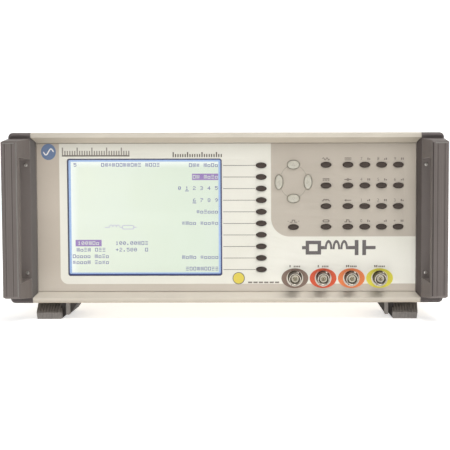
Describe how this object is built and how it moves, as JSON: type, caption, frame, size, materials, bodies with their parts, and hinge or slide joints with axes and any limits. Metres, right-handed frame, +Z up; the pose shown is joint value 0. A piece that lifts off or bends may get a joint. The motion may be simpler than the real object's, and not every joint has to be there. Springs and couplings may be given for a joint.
{
  "type": "lcr meter",
  "caption": "Bench LCR meter with a large display, softkeys, keypad, arrow cluster, coaxial test jacks, side grip handles and folding front tilt legs.",
  "frame": {"origin": "bottom centre of the whole instrument, on the surface it stands on", "axes": "+Z up, the front panel faces -Y, +X to the right of someone facing the panel"},
  "size_m": [0.337, 0.34, 0.145],
  "materials": {
    "cream_plastic": "painted, fine texture, warm cream",
    "panel_print": "printed overlay, cream with taupe zones",
    "grip_plastic": "moulded, fine texture, dark warm grey",
    "cover_paint": "powder coat, warm beige",
    "plated_sheet": "painted sheet, warm beige",
    "window": "clear, hard coated",
    "lcd": "lit display face, pale green white",
    "board": "green circuit board",
    "core_iron": "laminated core",
    "foot_plastic": "moulded, matt",
    "black_plastic": "moulded, satin",
    "key_rubber": "silicone, matt dark brown",
    "arrow_plastic": "translucent, pale",
    "jack_nickel": "nickel plate"
  },
  "bodies": {
    "chassis": {"front_frame": "cream_plastic", "front_panel": "panel_print", "handle_left": "grip_plastic", "handle_right": "grip_plastic", "top_cover": "cover_paint", "base_tray": "plated_sheet", "rear_panel": "plated_sheet", "display_window": "window", "lcd_module": "lcd", "key_circuit_board": "board", "main_circuit_board": "board", "mains_transformer": "core_iron", "jack_low_current": "jack_nickel", "jack_low_potential": "jack_nickel", "jack_high_potential": "jack_nickel", "jack_high_current": "jack_nickel", "front_foot_left": "foot_plastic", "front_foot_right": "foot_plastic", "rear_foot_left": "foot_plastic", "rear_foot_right": "foot_plastic", "mains_inlet": "black_plastic"},
    "softkey_01_body": {"softkey_01": "key_rubber"},
    "softkey_02_body": {"softkey_02": "key_rubber"},
    "softkey_03_body": {"softkey_03": "key_rubber"},
    "softkey_04_body": {"softkey_04": "key_rubber"},
    "softkey_05_body": {"softkey_05": "key_rubber"},
    "softkey_06_body": {"softkey_06": "key_rubber"},
    "softkey_07_body": {"softkey_07": "key_rubber"},
    "softkey_08_body": {"softkey_08": "key_rubber"},
    "softkey_09_body": {"softkey_09": "key_rubber"},
    "softkey_10_body": {"softkey_10": "key_rubber"},
    "keypad_key_01_body": {"keypad_key_01": "key_rubber"},
    "keypad_key_02_body": {"keypad_key_02": "key_rubber"},
    "keypad_key_03_body": {"keypad_key_03": "key_rubber"},
    "keypad_key_04_body": {"keypad_key_04": "key_rubber"},
    "keypad_key_05_body": {"keypad_key_05": "key_rubber"},
    "keypad_key_06_body": {"keypad_key_06": "key_rubber"},
    "keypad_key_07_body": {"keypad_key_07": "key_rubber"},
    "keypad_key_08_body": {"keypad_key_08": "key_rubber"},
    "keypad_key_09_body": {"keypad_key_09": "key_rubber"},
    "keypad_key_10_body": {"keypad_key_10": "key_rubber"},
    "keypad_key_11_body": {"keypad_key_11": "key_rubber"},
    "keypad_key_12_body": {"keypad_key_12": "key_rubber"},
    "keypad_key_13_body": {"keypad_key_13": "key_rubber"},
    "keypad_key_14_body": {"keypad_key_14": "key_rubber"},
    "keypad_key_15_body": {"keypad_key_15": "key_rubber"},
    "keypad_key_16_body": {"keypad_key_16": "key_rubber"},
    "keypad_key_17_body": {"keypad_key_17": "key_rubber"},
    "keypad_key_18_body": {"keypad_key_18": "key_rubber"},
    "keypad_key_19_body": {"keypad_key_19": "key_rubber"},
    "keypad_key_20_body": {"keypad_key_20": "key_rubber"},
    "trigger_key_body": {"trigger_key": "key_rubber"},
    "arrow_key_up_body": {"arrow_key_up": "arrow_plastic"},
    "arrow_key_down_body": {"arrow_key_down": "arrow_plastic"},
    "arrow_key_left_body": {"arrow_key_left": "arrow_plastic"},
    "arrow_key_right_body": {"arrow_key_right": "arrow_plastic"},
    "power_rocker_body": {"power_rocker": "black_plastic"},
    "fuse_drawer_body": {"fuse_drawer": "black_plastic"},
    "tilt_leg_left_body": {"tilt_leg_left": "foot_plastic"},
    "tilt_leg_right_body": {"tilt_leg_right": "foot_plastic"}
  },
  "joints": [
    {"name": "power_rocker_tip", "type": "hinge", "parent": "chassis", "child": "power_rocker_body", "pos_m": [0.127, 0.1622, 0.0895], "axis": [1, 0, 0], "range_deg": [0, 20]},
    {"name": "fuse_drawer_slide", "type": "slide", "parent": "chassis", "child": "fuse_drawer_body", "axis": [0, 1, 0], "range_m": [0, 0.018]},
    {"name": "tilt_leg_left_fold", "type": "hinge", "parent": "chassis", "child": "tilt_leg_left_body", "pos_m": [-0.1389, -0.1254, 0.005], "axis": [-1, 0, 0], "range_deg": [0, 95]},
    {"name": "tilt_leg_right_fold", "type": "hinge", "parent": "chassis", "child": "tilt_leg_right_body", "pos_m": [0.1389, -0.1254, 0.005], "axis": [-1, 0, 0], "range_deg": [0, 95]},
    {"name": "arrow_key_up_press", "type": "slide", "parent": "chassis", "child": "arrow_key_up_body", "axis": [0, 1, 0], "range_m": [0, 0.0012], "stiffness_N_per_m": 300, "springref_m": -0.0008},
    {"name": "arrow_key_down_press", "type": "slide", "parent": "chassis", "child": "arrow_key_down_body", "axis": [0, 1, 0], "range_m": [0, 0.0012], "stiffness_N_per_m": 300, "springref_m": -0.0008},
    {"name": "arrow_key_left_press", "type": "slide", "parent": "chassis", "child": "arrow_key_left_body", "axis": [0, 1, 0], "range_m": [0, 0.0012], "stiffness_N_per_m": 300, "springref_m": -0.0008},
    {"name": "arrow_key_right_press", "type": "slide", "parent": "chassis", "child": "arrow_key_right_body", "axis": [0, 1, 0], "range_m": [0, 0.0012], "stiffness_N_per_m": 300, "springref_m": -0.0008},
    {"name": "softkey_01_press", "type": "slide", "parent": "chassis", "child": "softkey_01_body", "axis": [0, 1, 0], "range_m": [0, 0.001], "stiffness_N_per_m": 300, "springref_m": -0.0008},
    {"name": "softkey_02_press", "type": "slide", "parent": "chassis", "child": "softkey_02_body", "axis": [0, 1, 0], "range_m": [0, 0.001], "stiffness_N_per_m": 300, "springref_m": -0.0008},
    {"name": "softkey_03_press", "type": "slide", "parent": "chassis", "child": "softkey_03_body", "axis": [0, 1, 0], "range_m": [0, 0.001], "stiffness_N_per_m": 300, "springref_m": -0.0008},
    {"name": "softkey_04_press", "type": "slide", "parent": "chassis", "child": "softkey_04_body", "axis": [0, 1, 0], "range_m": [0, 0.001], "stiffness_N_per_m": 300, "springref_m": -0.0008},
    {"name": "softkey_05_press", "type": "slide", "parent": "chassis", "child": "softkey_05_body", "axis": [0, 1, 0], "range_m": [0, 0.001], "stiffness_N_per_m": 300, "springref_m": -0.0008},
    {"name": "softkey_06_press", "type": "slide", "parent": "chassis", "child": "softkey_06_body", "axis": [0, 1, 0], "range_m": [0, 0.001], "stiffness_N_per_m": 300, "springref_m": -0.0008},
    {"name": "softkey_07_press", "type": "slide", "parent": "chassis", "child": "softkey_07_body", "axis": [0, 1, 0], "range_m": [0, 0.001], "stiffness_N_per_m": 300, "springref_m": -0.0008},
    {"name": "softkey_08_press", "type": "slide", "parent": "chassis", "child": "softkey_08_body", "axis": [0, 1, 0], "range_m": [0, 0.001], "stiffness_N_per_m": 300, "springref_m": -0.0008},
    {"name": "softkey_09_press", "type": "slide", "parent": "chassis", "child": "softkey_09_body", "axis": [0, 1, 0], "range_m": [0, 0.001], "stiffness_N_per_m": 300, "springref_m": -0.0008},
    {"name": "softkey_10_press", "type": "slide", "parent": "chassis", "child": "softkey_10_body", "axis": [0, 1, 0], "range_m": [0, 0.001], "stiffness_N_per_m": 300, "springref_m": -0.0008},
    {"name": "keypad_key_01_press", "type": "slide", "parent": "chassis", "child": "keypad_key_01_body", "axis": [0, 1, 0], "range_m": [0, 0.001], "stiffness_N_per_m": 300, "springref_m": -0.0008},
    {"name": "keypad_key_02_press", "type": "slide", "parent": "chassis", "child": "keypad_key_02_body", "axis": [0, 1, 0], "range_m": [0, 0.001], "stiffness_N_per_m": 300, "springref_m": -0.0008},
    {"name": "keypad_key_03_press", "type": "slide", "parent": "chassis", "child": "keypad_key_03_body", "axis": [0, 1, 0], "range_m": [0, 0.001], "stiffness_N_per_m": 300, "springref_m": -0.0008},
    {"name": "keypad_key_04_press", "type": "slide", "parent": "chassis", "child": "keypad_key_04_body", "axis": [0, 1, 0], "range_m": [0, 0.001], "stiffness_N_per_m": 300, "springref_m": -0.0008},
    {"name": "keypad_key_05_press", "type": "slide", "parent": "chassis", "child": "keypad_key_05_body", "axis": [0, 1, 0], "range_m": [0, 0.001], "stiffness_N_per_m": 300, "springref_m": -0.0008},
    {"name": "keypad_key_06_press", "type": "slide", "parent": "chassis", "child": "keypad_key_06_body", "axis": [0, 1, 0], "range_m": [0, 0.001], "stiffness_N_per_m": 300, "springref_m": -0.0008},
    {"name": "keypad_key_07_press", "type": "slide", "parent": "chassis", "child": "keypad_key_07_body", "axis": [0, 1, 0], "range_m": [0, 0.001], "stiffness_N_per_m": 300, "springref_m": -0.0008},
    {"name": "keypad_key_08_press", "type": "slide", "parent": "chassis", "child": "keypad_key_08_body", "axis": [0, 1, 0], "range_m": [0, 0.001], "stiffness_N_per_m": 300, "springref_m": -0.0008},
    {"name": "keypad_key_09_press", "type": "slide", "parent": "chassis", "child": "keypad_key_09_body", "axis": [0, 1, 0], "range_m": [0, 0.001], "stiffness_N_per_m": 300, "springref_m": -0.0008},
    {"name": "keypad_key_10_press", "type": "slide", "parent": "chassis", "child": "keypad_key_10_body", "axis": [0, 1, 0], "range_m": [0, 0.001], "stiffness_N_per_m": 300, "springref_m": -0.0008},
    {"name": "keypad_key_11_press", "type": "slide", "parent": "chassis", "child": "keypad_key_11_body", "axis": [0, 1, 0], "range_m": [0, 0.001], "stiffness_N_per_m": 300, "springref_m": -0.0008},
    {"name": "keypad_key_12_press", "type": "slide", "parent": "chassis", "child": "keypad_key_12_body", "axis": [0, 1, 0], "range_m": [0, 0.001], "stiffness_N_per_m": 300, "springref_m": -0.0008},
    {"name": "keypad_key_13_press", "type": "slide", "parent": "chassis", "child": "keypad_key_13_body", "axis": [0, 1, 0], "range_m": [0, 0.001], "stiffness_N_per_m": 300, "springref_m": -0.0008},
    {"name": "keypad_key_14_press", "type": "slide", "parent": "chassis", "child": "keypad_key_14_body", "axis": [0, 1, 0], "range_m": [0, 0.001], "stiffness_N_per_m": 300, "springref_m": -0.0008},
    {"name": "keypad_key_15_press", "type": "slide", "parent": "chassis", "child": "keypad_key_15_body", "axis": [0, 1, 0], "range_m": [0, 0.001], "stiffness_N_per_m": 300, "springref_m": -0.0008},
    {"name": "keypad_key_16_press", "type": "slide", "parent": "chassis", "child": "keypad_key_16_body", "axis": [0, 1, 0], "range_m": [0, 0.001], "stiffness_N_per_m": 300, "springref_m": -0.0008},
    {"name": "keypad_key_17_press", "type": "slide", "parent": "chassis", "child": "keypad_key_17_body", "axis": [0, 1, 0], "range_m": [0, 0.001], "stiffness_N_per_m": 300, "springref_m": -0.0008},
    {"name": "keypad_key_18_press", "type": "slide", "parent": "chassis", "child": "keypad_key_18_body", "axis": [0, 1, 0], "range_m": [0, 0.001], "stiffness_N_per_m": 300, "springref_m": -0.0008},
    {"name": "keypad_key_19_press", "type": "slide", "parent": "chassis", "child": "keypad_key_19_body", "axis": [0, 1, 0], "range_m": [0, 0.001], "stiffness_N_per_m": 300, "springref_m": -0.0008},
    {"name": "keypad_key_20_press", "type": "slide", "parent": "chassis", "child": "keypad_key_20_body", "axis": [0, 1, 0], "range_m": [0, 0.001], "stiffness_N_per_m": 300, "springref_m": -0.0008},
    {"name": "trigger_key_press", "type": "slide", "parent": "chassis", "child": "trigger_key_body", "axis": [0, 1, 0], "range_m": [0, 0.001], "stiffness_N_per_m": 300, "springref_m": -0.0008}
  ]
}
